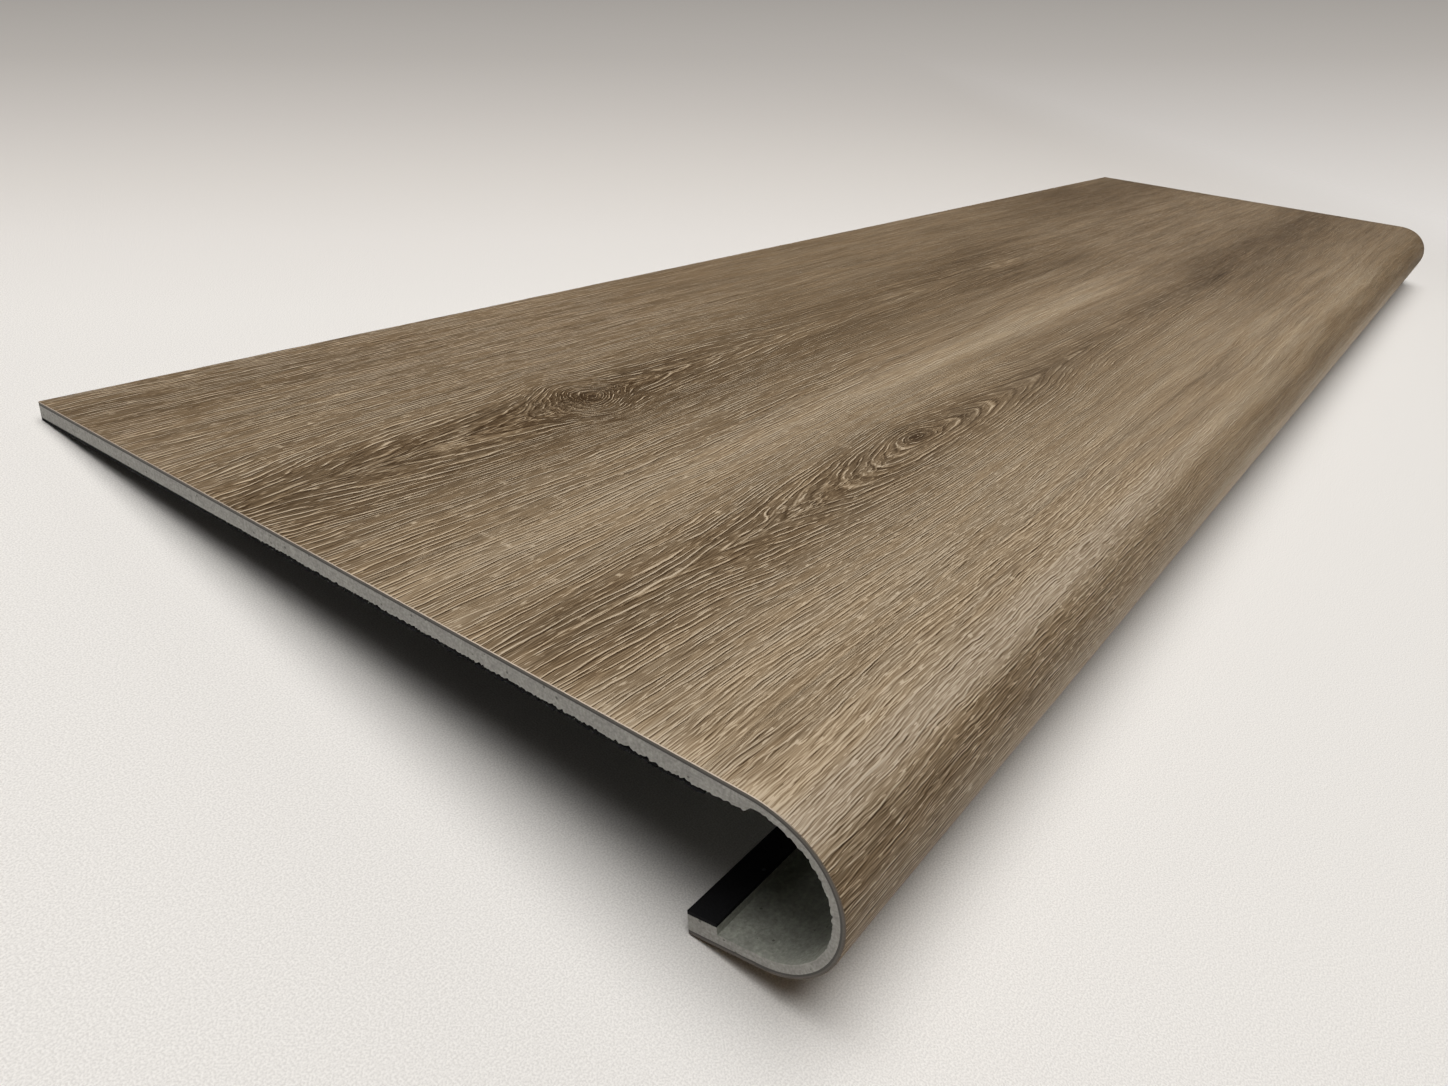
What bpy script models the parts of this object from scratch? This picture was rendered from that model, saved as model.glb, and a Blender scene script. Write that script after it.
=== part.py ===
# Bullnose stair tread: one laminated board whose front is milled thin on the back and bent
# round a nose into a short return lip.
#
# Units are metres, +Z is up and +X runs along the length of the tread.
# The section is drawn from the line where the bend begins, with the walking face level and the
# back edge towards +Y. The empty that carries the layers then lays the tread down as it lies on a
# floor by itself, on its lip and its back edge, with the middle of its footprint at the origin.

import math

import bmesh
import bpy

# Overall sizes
LENGTH = 1.067
DEPTH = 0.3082

# The nose: tangent arcs from the walking face round to the lip, each a radius and the angle
# reached at its end. The board eases into the bend and is tightest at the front and below.
LIP_DROOP = math.radians(9.6)
BEND = math.pi - LIP_DROOP
NOSE_ARCS = (
    (0.0303, math.radians(25)),
    (0.0234, math.radians(60)),
    (0.0200, BEND),
)
LIP_RUN = 0.0194

# Layers, from the walking face inwards
FILM = 0.0005
PLY = 0.0006
CORE = 0.0042
PAD = 0.0009
GLUE_LINE = 0.0001

# Milling that lets the board bend: what is left of the core along the groove, and where the
# groove's two walls stand. The rear wall climbs steeply to a shoulder and then gently.
MILLED_AT_LIP = 0.0024
MILLED_AT_TOP = 0.0017
SHOULDER_CORE = 0.0034
LIP_LAND = 0.0078
LAND_WALL = 0.0005
GROOVE_AHEAD = 0.0030
SHOULDER_RUN = 0.0100

STEP_ANGLE = math.radians(3.5)

# Depth below the walking face at which each layer starts
PLY_TOP = FILM + GLUE_LINE
CORE_TOP = PLY_TOP + PLY + GLUE_LINE
PAD_TOP = CORE_TOP + CORE + GLUE_LINE
BOARD = PAD_TOP + PAD


def nose_table():
    """Each arc of the nose: the run and angle where it starts, its radius and its centre."""
    table = []
    run, angle = 0.0, 0.0
    y, z = 0.0, 0.0
    for radius, reached in NOSE_ARCS:
        centre_y = y + radius * math.sin(angle)
        centre_z = z - radius * math.cos(angle)
        table.append((run, angle, radius, centre_y, centre_z))
        run -= radius * (reached - angle)
        angle = reached
        y = centre_y - radius * math.sin(angle)
        z = centre_z + radius * math.cos(angle)
    return table, run, (y, z)


# The walking face is followed by its unrolled length: zero where the bend begins at the top,
# positive towards the back edge, negative round the nose and along the lip.
NOSE, BEND_END, LIP_START = nose_table()
NOSE_REACH = [radius - centre_y for _, first, radius, centre_y, _ in NOSE if first < math.pi / 2][-1]
BACK_EDGE = DEPTH - NOSE_REACH
LIP_END = BEND_END - LIP_RUN
LAND_EDGE = LIP_END + LIP_LAND
LAND_FOOT = LAND_EDGE + LAND_WALL
GROOVE_EDGE = -GROOVE_AHEAD

# Core left at each corner of its milled back, from the lip's end to the back edge
CORE_BACK = (
    (LIP_END, CORE),
    (LAND_EDGE, CORE),
    (LAND_FOOT, MILLED_AT_LIP),
    (GROOVE_EDGE, MILLED_AT_TOP),
    (0.0, SHOULDER_CORE),
    (SHOULDER_RUN, CORE),
    (BACK_EDGE, CORE),
)


def section_point(run, depth):
    """The point (y, z) at a depth below the walking face, at an unrolled run along it."""
    if run >= 0:
        return run, -depth
    if run <= BEND_END:
        y, z = LIP_START
        beyond = BEND_END - run
        y -= beyond * math.cos(BEND) - depth * math.sin(BEND)
        z -= beyond * math.sin(BEND) + depth * math.cos(BEND)
        return y, z
    start, first, radius, centre_y, centre_z = [arc for arc in NOSE if arc[0] >= run][-1]
    angle = first + (start - run) / radius
    reach = radius - depth
    return centre_y - reach * math.sin(angle), centre_z + reach * math.cos(angle)


def stations(first, last, extra=()):
    """The runs at which a layer has a corner, from first to last."""
    runs = [first, last, *extra]
    ends = [arc[0] for arc in NOSE[1:]] + [BEND_END]
    for (start, _, radius, _, _), end in zip(NOSE, ends):
        steps = math.ceil((start - end) / radius / STEP_ANGLE)
        runs += [start + (end - start) * i / steps for i in range(steps)]
    runs.append(BEND_END)
    return sorted({run for run in runs if first <= run <= last})


def core_bottom(run):
    """Depth of the core's back at a run, on the straight lines between its corners."""
    for (here, left), (there, right) in zip(CORE_BACK, CORE_BACK[1:]):
        if here <= run <= there:
            share = (run - here) / (there - here)
            return CORE_TOP + left + (right - left) * share
    return CORE_TOP + CORE


def material(name, colour, roughness):
    """A plain, non-metallic surface."""
    made = bpy.data.materials.new(name)
    made.use_nodes = True
    shader = made.node_tree.nodes["Principled BSDF"]
    shader.inputs["Base Color"].default_value = (*colour, 1.0)
    shader.inputs["Roughness"].default_value = roughness
    shader.inputs["Metallic"].default_value = 0.0
    return made


def layer(name, runs, top, bottom, surface, carrier):
    """One layer of the board: its section between two depths, drawn out along the length."""
    bm = bmesh.new()
    rows = []
    for run in runs:
        pair = []
        for depth in (top, bottom(run)):
            y, z = section_point(run, depth)
            pair.append(bm.verts.new((-LENGTH / 2, y, z)))
        rows.append(pair)
    for here, there in zip(rows, rows[1:]):
        bm.faces.new((here[0], here[1], there[1], there[0]))
    drawn = bmesh.ops.extrude_face_region(bm, geom=bm.faces[:])
    moved = [item for item in drawn["geom"] if isinstance(item, bmesh.types.BMVert)]
    bmesh.ops.translate(bm, verts=moved, vec=(LENGTH, 0.0, 0.0))
    bmesh.ops.recalc_face_normals(bm, faces=bm.faces[:])

    mesh = bpy.data.meshes.new(name)
    bm.to_mesh(mesh)
    bm.free()
    mesh.shade_smooth()
    mesh.set_sharp_from_angle(angle=math.radians(20))
    mesh.materials.append(surface)
    made = bpy.data.objects.new(name, mesh)
    bpy.context.collection.objects.link(made)
    made.parent = carrier
    return made


def resting_carrier():
    """The empty that lays the section down on the lip's outer corner and the back edge's foot."""
    lip_y, lip_z = section_point(LIP_END, 0.0)
    back_y, back_z = section_point(BACK_EDGE, BOARD)
    tilt = math.atan2(back_z - lip_z, back_y - lip_y)

    outline = [section_point(run, 0.0) for run in stations(LIP_END, BACK_EDGE)]
    outline.append((back_y, back_z))
    laid_y = [y * math.cos(tilt) + z * math.sin(tilt) for y, z in outline]
    laid_z = [z * math.cos(tilt) - y * math.sin(tilt) for y, z in outline]

    carrier = bpy.data.objects.new("tread", None)
    bpy.context.collection.objects.link(carrier)
    carrier.rotation_euler = (-tilt, 0.0, 0.0)
    carrier.location = (0.0, -(min(laid_y) + max(laid_y)) / 2, -min(laid_z))
    return carrier


def build():
    for old in list(bpy.data.objects):
        bpy.data.objects.remove(old, do_unlink=True)

    oak_print = material("wear_layer", (0.215, 0.155, 0.096), 0.55)
    dark_vinyl = material("top_ply", (0.080, 0.073, 0.063), 0.70)
    grey_core = material("core", (0.225, 0.212, 0.188), 0.75)
    black_foam = material("pad_foam", (0.010, 0.010, 0.010), 0.90)

    carrier = resting_carrier()
    whole = stations(LIP_END, BACK_EDGE)
    milled = stations(LIP_END, BACK_EDGE, [run for run, left in CORE_BACK])

    layer("wear_layer", whole, 0.0, lambda run: FILM, oak_print, carrier)
    layer("top_ply", whole, PLY_TOP, lambda run: PLY_TOP + PLY, dark_vinyl, carrier)
    layer("core", milled, CORE_TOP, core_bottom, grey_core, carrier)
    layer("backing_pad", (SHOULDER_RUN, BACK_EDGE), PAD_TOP, lambda run: BOARD, black_foam, carrier)
    layer("lip_pad", (LIP_END, LAND_EDGE), PAD_TOP, lambda run: BOARD, black_foam, carrier)


build()
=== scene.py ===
"""Dresses the bullnose stair tread: oak film, dark ply, grey core and black foam, on a pale stage."""

import math

import bpy
import numpy as np
from bpy.props import FloatProperty, FloatVectorProperty, PointerProperty
from mathutils import Matrix, Vector, noise


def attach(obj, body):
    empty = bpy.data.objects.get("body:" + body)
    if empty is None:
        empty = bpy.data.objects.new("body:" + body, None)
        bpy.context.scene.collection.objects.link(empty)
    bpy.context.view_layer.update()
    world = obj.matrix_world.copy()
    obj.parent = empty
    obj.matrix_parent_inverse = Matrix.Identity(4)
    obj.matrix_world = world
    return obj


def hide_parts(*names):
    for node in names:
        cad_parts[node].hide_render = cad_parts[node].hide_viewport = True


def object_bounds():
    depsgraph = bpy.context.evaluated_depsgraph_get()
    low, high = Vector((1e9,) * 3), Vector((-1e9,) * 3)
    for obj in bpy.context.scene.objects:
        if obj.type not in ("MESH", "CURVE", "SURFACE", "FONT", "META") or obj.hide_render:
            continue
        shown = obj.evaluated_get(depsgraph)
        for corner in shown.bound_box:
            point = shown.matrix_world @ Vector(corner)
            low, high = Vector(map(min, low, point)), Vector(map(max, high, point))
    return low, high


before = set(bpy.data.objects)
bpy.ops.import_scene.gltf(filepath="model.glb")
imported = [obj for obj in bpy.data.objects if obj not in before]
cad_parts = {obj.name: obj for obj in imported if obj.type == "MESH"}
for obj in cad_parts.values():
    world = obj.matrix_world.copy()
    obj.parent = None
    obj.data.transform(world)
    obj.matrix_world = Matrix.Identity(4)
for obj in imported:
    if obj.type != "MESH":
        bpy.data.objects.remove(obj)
CAD_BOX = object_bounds()

bl_info = {
    "name": "Stair tread",
    "version": (1, 0, 0),
    "blender": (4, 5, 0),
    "location": "3D View > Sidebar > Tread",
    "description": "Builds the layers of a bullnose stair tread and the stage it lies on",
    "category": "Object",
}

# The section, in metres: the walking face is followed by its unrolled run, zero where the bend
# begins, positive towards the back edge and negative round the nose; depth goes inwards from it.
# NOSE_ARCS holds each arc's radius and the angle reached at its end.
LENGTH = CAD_BOX[1][0] - CAD_BOX[0][0]
HALF = LENGTH / 2
DEPTH = 0.3082
BEND = math.pi - math.radians(9.6)
NOSE_ARCS = ((0.0303, math.radians(25)), (0.0234, math.radians(60)), (0.0200, BEND))
LIP_RUN = 0.0194
FILM = 0.0006
CORE_TOP = 0.0013
CORE = 0.0042
PAD_TOP = 0.0056
PAD = 0.0009
BOARD = PAD_TOP + PAD
LIP_LAND = 0.0078
SHOULDER_RUN = 0.0100
# In the level section, everything on the lip lies below this height
LIP_BELOW = -0.02
# Points closer than this are taken as one
CLOSE = 1e-6


def nose_table():
    """Each arc of the nose: its first run, first angle, last angle, radius and centre."""
    table = []
    run, angle, y, z = 0.0, 0.0, 0.0, 0.0
    for radius, reached in NOSE_ARCS:
        centre_y = y + radius * math.sin(angle)
        centre_z = z - radius * math.cos(angle)
        table.append((run, angle, reached, radius, centre_y, centre_z))
        run -= radius * (reached - angle)
        angle = reached
        y = centre_y - radius * math.sin(angle)
        z = centre_z + radius * math.cos(angle)
    return table, run, (y, z)


NOSE, BEND_END, LIP_START = nose_table()
NOSE_REACH = [arc[3] - arc[4] for arc in NOSE if arc[1] < math.pi / 2][-1]
BACK_EDGE = DEPTH - NOSE_REACH
LIP_END = BEND_END - LIP_RUN
LAND_EDGE = LIP_END + LIP_LAND


def section_point(run, depth):
    """Where runs and depths lie in the level section; a single number stands for all."""
    run, depth = np.broadcast_arrays(
        np.atleast_1d(run).astype(float), np.atleast_1d(depth).astype(float))
    y, z = run.copy(), -depth
    for first_run, first, last, radius, centre_y, centre_z in NOSE:
        end_run = first_run - radius * (last - first)
        here = (run < first_run) & (run >= end_run - 1e-9)
        angle = first + (first_run - run[here]) / radius
        y[here] = centre_y - (radius - depth[here]) * np.sin(angle)
        z[here] = centre_z + (radius - depth[here]) * np.cos(angle)
    lip = run < BEND_END - 1e-9
    beyond = BEND_END - run[lip]
    y[lip] = LIP_START[0] - beyond * math.cos(BEND) + depth[lip] * math.sin(BEND)
    z[lip] = LIP_START[1] - beyond * math.sin(BEND) - depth[lip] * math.cos(BEND)
    return y, z


def unrolled(y, z):
    """The run and depth of points of the level section."""
    run, depth = y.copy(), -z
    for first_run, first, last, radius, centre_y, centre_z in NOSE:
        angle = np.arctan2(centre_y - y, z - centre_z)
        here = (angle >= first - 1e-7) & (angle <= last + 1e-7) & (y < 1e-9)
        run[here] = first_run - radius * (angle[here] - first)
        depth[here] = radius - np.hypot(y[here] - centre_y, z[here] - centre_z)
    off_y, off_z = y - LIP_START[0], z - LIP_START[1]
    beyond = -off_y * math.cos(BEND) - off_z * math.sin(BEND)
    lip = (beyond > 1e-7) & (z < LIP_BELOW)
    run[lip] = BEND_END - beyond[lip]
    depth[lip] = off_y[lip] * math.sin(BEND) - off_z[lip] * math.cos(BEND)
    return run, depth


def resting_place():
    """How far the level section is tilted, and where its origin goes, as it lies on the floor."""
    lip_y, lip_z = (v[0] for v in section_point(LIP_END, 0.0))
    tilt = math.atan2(-BOARD - lip_z, BACK_EDGE - lip_y)
    runs = np.linspace(LIP_END, BACK_EDGE, 4000)
    y, z = section_point(runs, 0.0)
    y, z = np.append(y, BACK_EDGE), np.append(z, -BOARD)
    laid_y = y * math.cos(tilt) + z * math.sin(tilt)
    laid_z = z * math.cos(tilt) - y * math.sin(tilt)
    return tilt, -(laid_y.min() + laid_y.max()) / 2, -laid_z.min()


TILT, SET_Y, SET_Z = resting_place()


# Mesh tools, each used as by hand in edit mode

def object_mode():
    bpy.ops.object.mode_set(mode="OBJECT")


def nothing_selected():
    if bpy.context.object and bpy.context.object.mode != "OBJECT":
        object_mode()
    bpy.ops.object.select_all(action="DESELECT")


def added(name, stretch):
    """Names the primitive just added, stretches it and puts its place into its mesh."""
    made = bpy.context.object
    made.name = made.data.name = name
    made.scale = stretch
    bpy.ops.object.transform_apply(location=True, rotation=True, scale=True)
    return made


def points(made):
    """The mesh's points as an array."""
    flat = np.empty(len(made.data.vertices) * 3, dtype=np.float32)
    made.data.vertices.foreach_get("co", flat)
    return flat.reshape(-1, 3).astype(float)


def place_points(made, where):
    made.data.vertices.foreach_set("co", where.astype(np.float32).ravel())
    made.data.update()


def edit_points(made, wanted):
    """Goes into edit mode with only the wanted points selected."""
    if made.mode != "OBJECT":
        object_mode()
    bpy.context.tool_settings.mesh_select_mode = (True, False, False)
    mesh = made.data
    mesh.vertices.foreach_set("select", wanted)
    pairs = np.empty(len(mesh.edges) * 2, dtype=np.int32)
    mesh.edges.foreach_get("vertices", pairs)
    mesh.edges.foreach_set("select", wanted[pairs.reshape(-1, 2)].all(axis=1))
    mesh.polygons.foreach_set("select", np.zeros(len(mesh.polygons), dtype=bool))
    bpy.ops.object.mode_set(mode="EDIT")
    bpy.ops.mesh.select_mode(type="VERT")


def bend_front(step):
    """Spins the selected front row round the nose's arcs and draws it out along the lip."""
    for first_run, first, last, radius, centre_y, centre_z in NOSE:
        steps = max(2, round(radius * (last - first) / step))
        bpy.ops.mesh.spin(
            steps=steps, angle=last - first, center=(0, centre_y, centre_z), axis=(-1, 0, 0))
    steps = max(1, round(LIP_RUN / step))
    stride = (0.0, -math.cos(BEND) * LIP_RUN / steps, -math.sin(BEND) * LIP_RUN / steps)
    for _ in range(steps):
        bpy.ops.mesh.extrude_region_move(TRANSFORM_OT_translate={"value": stride})


def keep(made, name, *values):
    """Stores three values of each point for the materials."""
    layer = made.data.attributes.new(name, "FLOAT_VECTOR", "POINT")
    layer.data.foreach_set("vector", np.stack(values, 1).astype(np.float32).ravel())


def kept_board(made):
    """The place of each point along the length, run and depth, as it was stored."""
    flat = np.empty(len(made.data.vertices) * 3, dtype=np.float32)
    made.data.attributes["board"].data.foreach_get("vector", flat)
    return flat.reshape(-1, 3)


def finish_piece(made, surface, replaced, smooth=math.radians(32)):
    """Lays the level piece down as it rests, gives it its material and ties it to the body."""
    nothing_selected()
    made.select_set(True)
    bpy.context.view_layer.objects.active = made
    bpy.ops.object.mode_set(mode="EDIT")
    bpy.ops.mesh.select_all(action="SELECT")
    bpy.ops.mesh.remove_doubles(threshold=1e-7)
    bpy.ops.mesh.normals_make_consistent(inside=False)
    object_mode()
    made.rotation_euler = (-TILT, 0.0, 0.0)
    made.location = (0.0, SET_Y, SET_Z)
    bpy.ops.object.transform_apply(location=True, rotation=True, scale=True)
    bpy.ops.object.shade_smooth_by_angle(angle=smooth)
    made.data.materials.clear()
    made.data.materials.append(surface)
    if replaced:
        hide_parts(replaced)
    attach(made, "root")
    nothing_selected()


# Node tools

def lay(tree, kind, inputs=None, **settings):
    """Adds a shader node with its settings, and gives its inputs values or links."""
    made = tree.nodes.new("ShaderNode" + kind)
    for name, value in settings.items():
        setattr(made, name, value)
    for name, value in (inputs or {}).items():
        if isinstance(value, bpy.types.NodeSocket):
            tree.links.new(value, made.inputs[name])
        else:
            made.inputs[name].default_value = value
    return made


def sums(tree, operation, first, second=0.0, third=0.0, clamp=False):
    values = {0: first, 1: second, 2: third}
    return lay(tree, "Math", values, operation=operation, use_clamp=clamp).outputs[0]


def times(tree, first, second):
    return sums(tree, "MULTIPLY", first, second)


def minus(tree, first, second):
    return sums(tree, "SUBTRACT", first, second)


def times_plus(tree, value, factor, rest, clamp=False):
    return sums(tree, "MULTIPLY_ADD", value, factor, rest, clamp)


def ranged(tree, value, low, high, out_low=0.0, out_high=1.0, smooth=True):
    values = {"Value": value, "From Min": low, "From Max": high, "To Min": out_low, "To Max": out_high}
    kind = "SMOOTHSTEP" if smooth else "LINEAR"
    return lay(tree, "MapRange", values, interpolation_type=kind).outputs[0]


def whole_colour(value):
    """A colour of three numbers with its alpha; a link stays as it is."""
    return value if isinstance(value, bpy.types.NodeSocket) else (*value, 1.0)


def blended(tree, factor, first, second, way="MIX"):
    values = {0: factor, 6: whole_colour(first), 7: whole_colour(second)}
    return lay(tree, "Mix", values, data_type="RGBA", blend_type=way).outputs[2]


def split(tree, vector):
    return lay(tree, "SeparateXYZ", {0: vector}).outputs


def combined(tree, x, y, z):
    return lay(tree, "CombineXYZ", {0: x, 1: y, 2: z}).outputs[0]


def vectors(tree, operation, first, second):
    return lay(tree, "VectorMath", {0: first, 1: second}, operation=operation).outputs[0]


def stored(tree, name):
    return lay(tree, "Attribute", attribute_name=name).outputs["Vector"]


def ramped(tree, value, stops):
    made = lay(tree, "ValToRGB", {0: value})
    ramp = made.color_ramp
    while len(ramp.elements) < len(stops):
        ramp.elements.new(0.5)
    for element, (place, colour) in zip(ramp.elements, stops):
        element.position = place
        element.color = whole_colour(colour)
    return made.outputs[0]


def bumped(tree, shader, height, strength, distance):
    """Gives the shader a bump from a height."""
    values = {"Height": height, "Strength": strength, "Distance": distance}
    tree.links.new(lay(tree, "Bump", values).outputs[0], shader["Normal"])


def new_group(name, inputs, outputs):
    """A node group with named sockets: its tree, and its inputs and outputs by name.

    An input without a number is a vector, and an output called Color is a colour.
    """
    tree = bpy.data.node_groups.new(name, "ShaderNodeTree")
    for label, default in inputs.items():
        kind = "NodeSocketVector" if default is None else "NodeSocketFloat"
        socket = tree.interface.new_socket(label, in_out="INPUT", socket_type=kind)
        if default is not None:
            socket.default_value = default
    for label in outputs:
        kind = "NodeSocketColor" if label == "Color" else "NodeSocketFloat"
        tree.interface.new_socket(label, in_out="OUTPUT", socket_type=kind)
    entry = tree.nodes.new("NodeGroupInput")
    leave = tree.nodes.new("NodeGroupOutput")
    return tree, entry.outputs, leave.inputs


def used_group(tree, name, **values):
    """Places a shared group in a tree and gives its inputs values or links."""
    return lay(tree, "Group", values, node_tree=bpy.data.node_groups[name]).outputs


def fibres(tree, vector, length, width, seed, spread=6.0, detail=2.0):
    return used_group(tree, "Fibres", Vector=vector, Length=length, Width=width, Seed=seed,
                      Spread=spread, Detail=detail)[0]


def mottle(tree, vector, size, contrast=1.0, detail=3.0):
    return used_group(tree, "Mottle", Vector=vector, Size=size, Contrast=contrast, Detail=detail)[0]


def specks(tree, vector, size, share, seed=0.0):
    return used_group(tree, "Specks", Vector=vector, Size=size, Share=share, Seed=seed)[0]


# Shared node groups

def fibres_group():
    """Streaks drawn out along the grain: length along it and width across it."""
    inputs = {"Vector": None, "Length": 0.015, "Width": 0.001, "Spread": 6.0, "Detail": 2.0, "Seed": 0.0}
    tree, entry, leave = new_group("Fibres", inputs, ("Value",))
    x, y, z = split(tree, entry["Vector"])
    along = sums(tree, "ADD", sums(tree, "DIVIDE", x, entry["Length"]), entry["Seed"])
    across = sums(tree, "DIVIDE", y, entry["Width"])
    third = sums(tree, "DIVIDE", z, times(tree, entry["Width"], entry["Spread"]))
    values = {"Vector": combined(tree, along, across, third), "Scale": 1.0, "Detail": entry["Detail"],
              "Roughness": 0.55}
    grain = lay(tree, "TexNoise", values)
    tree.links.new(grain.outputs[0], leave["Value"])


def strokes_group():
    """Embossed strokes along the grain: a dark line of painted shade, a painted lit one a shift away.

    Where the rings stand steep across the board the strokes run in rows; elsewhere they scatter.
    """
    inputs = {"Vector": None, "Shift": None, "Length": 0.02, "Width": 0.001, "Thin": 0.08,
              "Steep": 1.0, "Seed": 0.0}
    tree, entry, leave = new_group("Strokes", inputs, ("Dark", "Light"))
    row_pitch, row_thin, row_sway, scatter_share = 1.4, 7.0, 11.0, 0.62
    moved = vectors(tree, "ADD", entry["Vector"], entry["Shift"])
    rate = sums(tree, "DIVIDE", 2 * math.pi / row_pitch, entry["Width"])
    wide = times(tree, entry["Width"], 3.5)
    # Dark is the groove's painted shade and Light its painted lit edge, the same streaks moved by Shift.
    for vector, label in ((entry["Vector"], "Dark"), (moved, "Light")):
        streak = fibres(tree, vector, entry["Length"], entry["Width"], entry["Seed"], 1.6, 1.0)
        off_middle = sums(tree, "ABSOLUTE", minus(tree, streak, 0.5))
        scattered = times(tree, ranged(tree, off_middle, entry["Thin"], 0.0), scatter_share)
        slow = fibres(tree, vector, entry["Length"], wide, entry["Seed"], 1.6, 1.0)
        turn = times_plus(tree, slow, row_sway, times(tree, split(tree, vector)[1], rate))
        wave = times_plus(tree, sums(tree, "SINE", turn), 0.5, 0.5)
        row = times(tree, sums(tree, "POWER", wave, row_thin), ranged(tree, streak, 0.42, 0.56))
        gain = times(tree, minus(tree, row, scattered), entry["Steep"])
        tree.links.new(sums(tree, "ADD", scattered, gain), leave[label])


def specks_group():
    """Scattered specks: a share of the cells hold one, each a random part of the size given."""
    inputs = {"Vector": None, "Size": 0.001, "Share": 0.2, "Seed": 0.0}
    tree, entry, leave = new_group("Specks", inputs, ("Mask",))
    values = {0: entry["Vector"], 3: sums(tree, "DIVIDE", 1.0, entry["Size"])}
    scaled = lay(tree, "VectorMath", values, operation="SCALE").outputs[0]
    moved = vectors(tree, "ADD", scaled, entry["Seed"])
    cells = lay(tree, "TexVoronoi", {"Vector": moved, "Scale": 1.0})
    chance = split(tree, cells.outputs["Color"])
    chosen = sums(tree, "LESS_THAN", chance[0], entry["Share"])
    size = times_plus(tree, chance[1], 0.28, 0.10)
    near = minus(tree, size, cells.outputs["Distance"])
    tree.links.new(times(tree, ranged(tree, near, 0.0, 0.10), chosen), leave["Mask"])


def mottle_group():
    """Soft cloudy change over the surface."""
    inputs = {"Vector": None, "Size": 0.02, "Detail": 3.0, "Contrast": 1.0}
    tree, entry, leave = new_group("Mottle", inputs, ("Value",))
    scale = sums(tree, "DIVIDE", 1.0, entry["Size"])
    values = {"Vector": entry["Vector"], "Scale": scale, "Detail": entry["Detail"]}
    cloud = lay(tree, "TexNoise", values).outputs[0]
    out = times_plus(tree, minus(tree, cloud, 0.5), entry["Contrast"], 0.5, clamp=True)
    tree.links.new(out, leave["Value"])


def painted_paper_shade_group():
    """The paper's painted shade as it fans out behind the tread: pale in front, grey towards the far
    left.
    """
    colours = bpy.context.scene.tread_colours
    tree, entry, leave = new_group("Paper painted shade", {"Turn": 0.0, "Share": 1.0}, ("Color",))
    share = ranged(tree, entry["Turn"], *FAN_DARKENS, smooth=False)
    share = times(tree, share, ranged(tree, entry["Turn"], *FAN_ENDS, 1.0, 0.0))
    share = times(tree, share, entry["Share"])
    shade = ramped(tree, share, (
        (0.0, colours.floor_near), (0.10, (0.895, 0.870, 0.840)), (0.233, (0.840, 0.808, 0.778)),
        (0.365, (0.740, 0.705, 0.670)), (0.539, (0.600, 0.566, 0.535)), (0.736, (0.460, 0.430, 0.400)),
        (1.0, colours.floor_far_painted_shade)))
    tree.links.new(shade, leave["Color"])


def new_material(name, roughness):
    """A material with its shader: the tree, the shader's inputs and the user's colours."""
    made = bpy.data.materials.new(name)
    made.use_nodes = True
    tree = made.node_tree
    shader = tree.nodes["Principled BSDF"]
    shader.inputs["Roughness"].default_value = roughness
    return made, tree, shader.inputs, bpy.context.scene.tread_colours


# Oak figure, in millimetres: x from the near end and s across the board, as the face is unrolled

# The two heart lines, where the knot on each lies, and how far its rings swell at places along x
AXIS_FRONT, AXIS_BACK = 63.0, 171.0
KNOT_FRONT, KNOT_BACK = 201.0, 140.0
SWELL_FRONT = (
    [-60, 0, 60, 101, 119, 146, 170, 187, 201, 215, 232, 260, 295, 330, 382, 450, 650, 1100],
    [21, 20, 19, 17, 15.2, 12, 7.2, 4.5, 0, 4.5, 7, 10.2, 13.4, 15, 16.6, 18, 21, 24])
SWELL_BACK = (
    [-60, 0, 30, 57, 87, 110, 120, 130, 140, 150, 160, 185, 230, 300, 450, 600, 1100],
    [31, 29.5, 28, 26, 24, 22, 19, 12, 0, 11, 16, 18.5, 20, 22, 26, 28, 33])
LEVEL_FRONT, LEVEL_BACK = 19.0, 26.0


def clouds(x, s, length, width, seed):
    """Smooth noise from minus one to one over arrays, a cell length along and a width across."""
    out = np.empty(len(x))
    for i, (a, b) in enumerate(zip(x / length, s / width)):
        out[i] = noise.noise((a + seed, b - seed, seed * 0.37))
    return out


def swollen(x, off, knot, swell, level, above, below):
    """Distance from a heart line, swollen round its knot: round near it, pointed further off."""
    rise = np.interp(x, *swell)
    power = 1.15 + 0.80 * np.exp(-((x - knot) / 112) ** 4)
    far = np.abs(off)
    near = (far ** power + rise ** power) ** (1 / power)
    width = np.where(off < 0, below, above)
    kept = (1 + np.exp(-4.0)) / (1 + np.exp((far - width) / (width / 4)))
    return far + (near - far - level) * kept


def grain_field(x, s):
    """Distance across the growth rings in millimetres, for points x along and s across."""
    xw = x + 4.5 * clouds(x, s, 46, 11, 3.1) + 2.0 * clouds(x, s, 17, 3.6, 7.7)
    sw = s + 2.6 * clouds(x, s, 150, 45, 1.3) + 1.0 * clouds(x, s, 36, 12, 5.9)
    lifted = 3.2 * np.exp(-((x - KNOT_FRONT) / 20) ** 2 - ((s - 65) / 13) ** 2)
    front = sw - AXIS_FRONT - lifted
    back = sw - AXIS_BACK
    middle = (AXIS_BACK - AXIS_FRONT) / 2
    near_front = swollen(xw, front, KNOT_FRONT, SWELL_FRONT, LEVEL_FRONT, 26, 26)
    near_back = swollen(xw, back, KNOT_BACK, SWELL_BACK, LEVEL_BACK, 38, 26)
    return np.where(front < middle, near_front, 2 * middle - near_back)


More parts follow.
